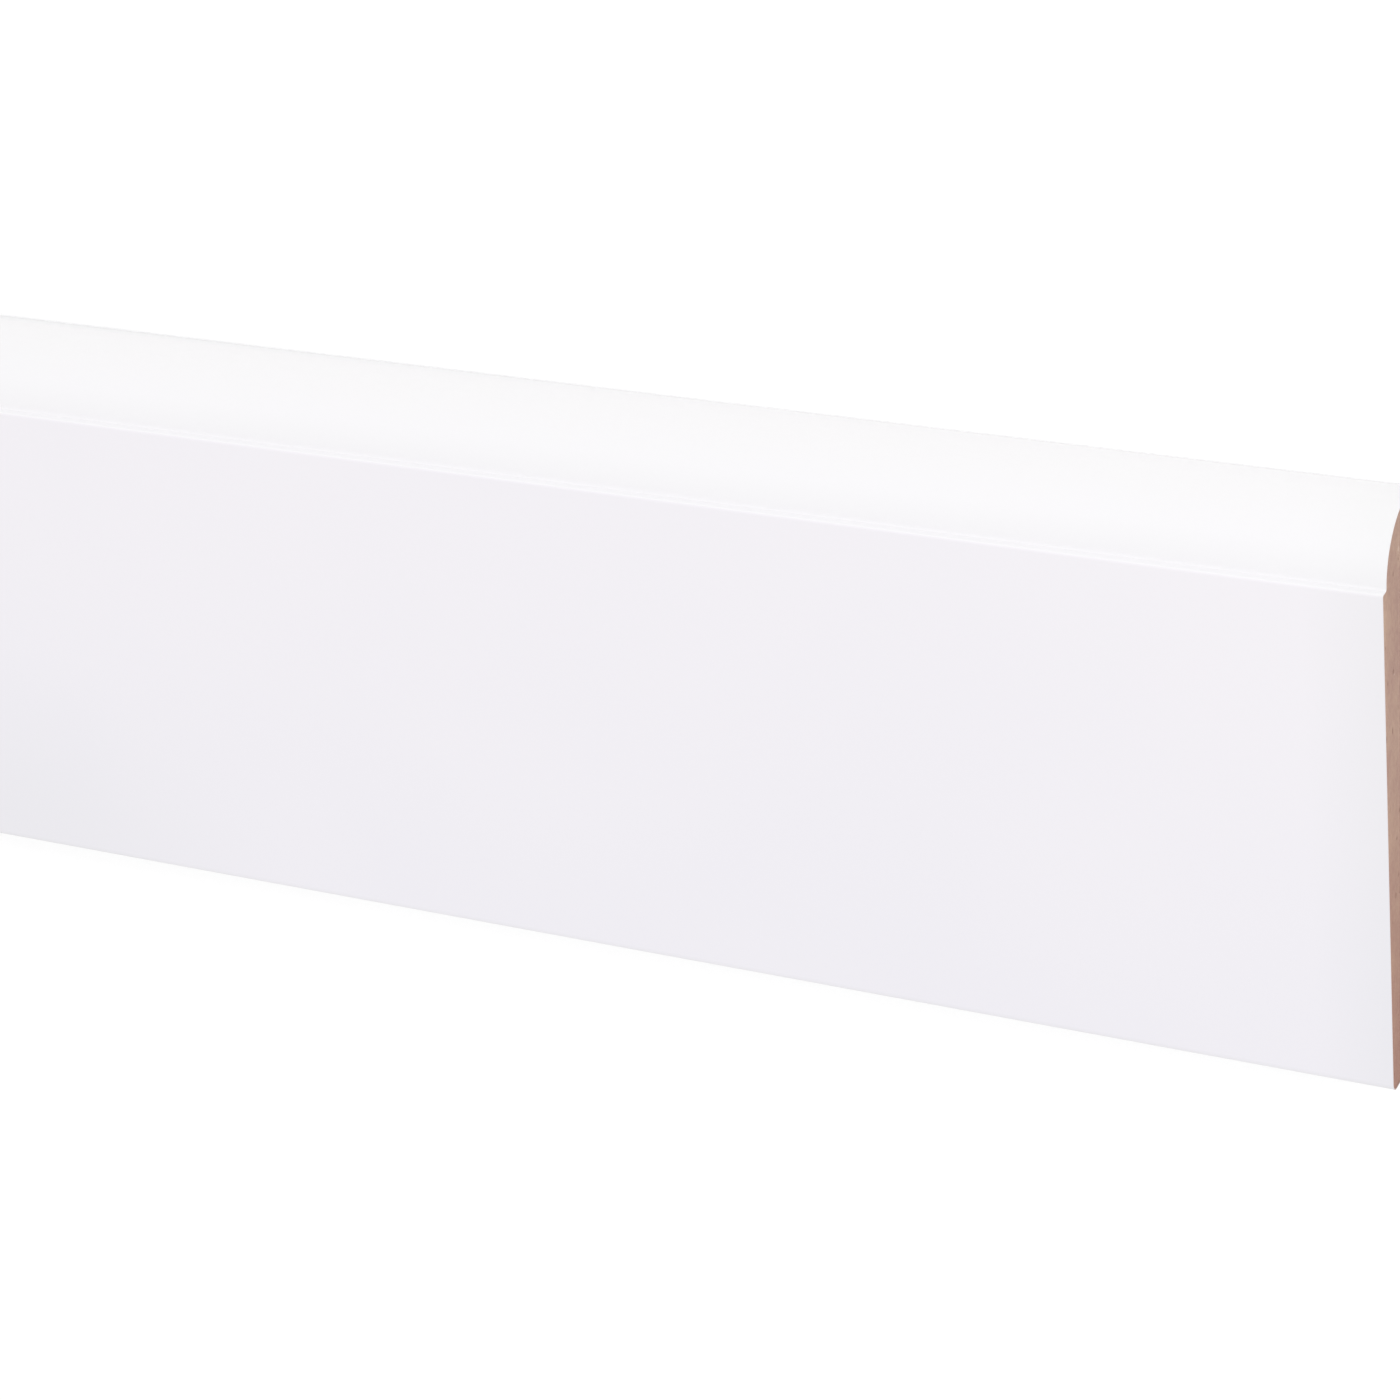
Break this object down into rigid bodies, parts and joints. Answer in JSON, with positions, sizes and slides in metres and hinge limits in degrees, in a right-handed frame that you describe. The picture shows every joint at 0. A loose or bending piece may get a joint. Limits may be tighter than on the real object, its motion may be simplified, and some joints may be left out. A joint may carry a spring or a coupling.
{
  "type": "skirting board length",
  "caption": "Skirting board length of white primed MDF, with a flat face, a small ledge and a quarter-round ovolo along its top edge, and bare sawn ends.",
  "frame": {"origin": "middle of the back face, which is the face that lies on the floor in storage and against the wall in use", "axes": "+X along the length, +Y from the floor edge to the moulded edge, +Z out of the back face towards the room"},
  "size_m": [2.4, 0.119, 0.018],
  "materials": {
    "primed_mdf": "satin"
  },
  "bodies": {
    "root": {"skirting_board": "primed_mdf"}
  },
  "joints": []
}
